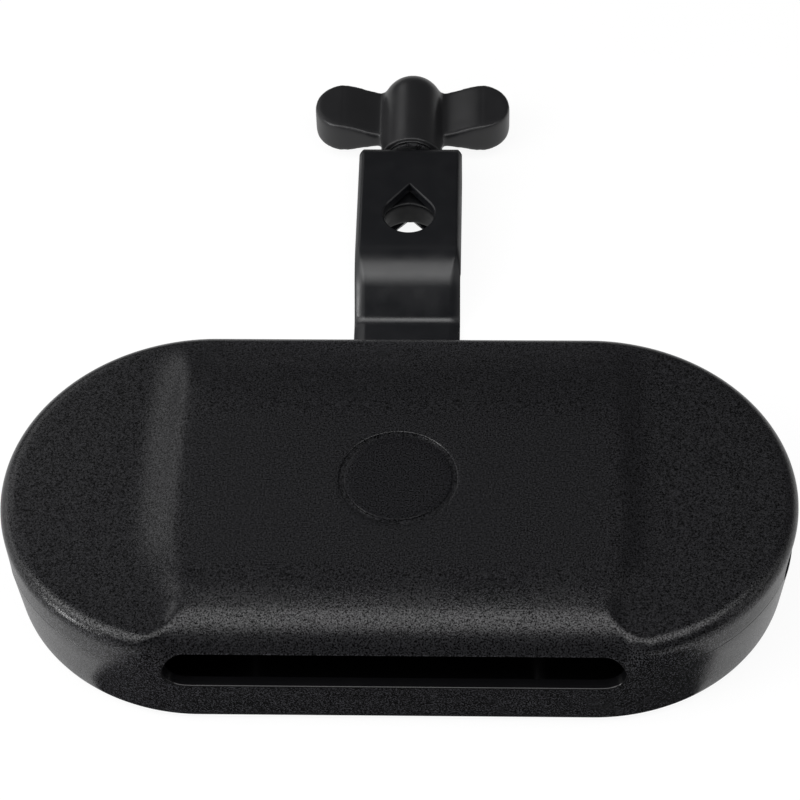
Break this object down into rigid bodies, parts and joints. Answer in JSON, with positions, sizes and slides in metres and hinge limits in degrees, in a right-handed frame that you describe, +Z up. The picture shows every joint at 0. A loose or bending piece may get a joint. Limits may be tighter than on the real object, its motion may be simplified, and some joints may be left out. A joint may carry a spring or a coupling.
{
  "type": "mounted percussion block",
  "caption": "Hollow moulded percussion block with a rolled striking brow, a long front sound slot and a steel strap bracket with an eye bolt clamp for a round rod.",
  "frame": {"origin": "middle of the block's flat underside", "axes": "+Z up out of the block's top, +Y from the block towards the rod clamp and wing nut, +X to the right"},
  "size_m": [0.2, 0.2207, 0.0348],
  "materials": {
    "block_plastic": "fine grained black moulded plastic",
    "grip_plastic": "smooth satin black moulded plastic",
    "coated_steel": "glossy black coating on steel",
    "plated_steel": "zinc plated steel",
    "pad_rubber": "thin black rubber sheet"
  },
  "bodies": {
    "block": {"upper_shell": "block_plastic", "lower_shell": "block_plastic", "shell_screws": "plated_steel", "bracket": "coated_steel", "bracket_pad": "pad_rubber", "backing_plate": "plated_steel", "bracket_screws": "coated_steel", "bracket_lock_washers": "plated_steel", "bracket_nuts": "plated_steel"},
    "eye": {"eye_bolt": "coated_steel"},
    "wing_nut": {"wing_nut_grip": "grip_plastic", "wing_nut_insert": "plated_steel"}
  },
  "joints": [
    {"name": "wing_nut_turn", "type": "hinge", "parent": "block", "child": "wing_nut", "pos_m": [0, 0.148, 0.009], "axis": [0, -1, 0], "range_deg": [0, 1872]},
    {"name": "eye_slide", "type": "slide", "parent": "block", "child": "eye", "axis": [0, 1, 0], "range_m": [0, 0.0066]}
  ],
  "couplings": [
    {"joint": "eye_slide", "follows": "wing_nut_turn", "m_per_rad": 0.00019894}
  ]
}
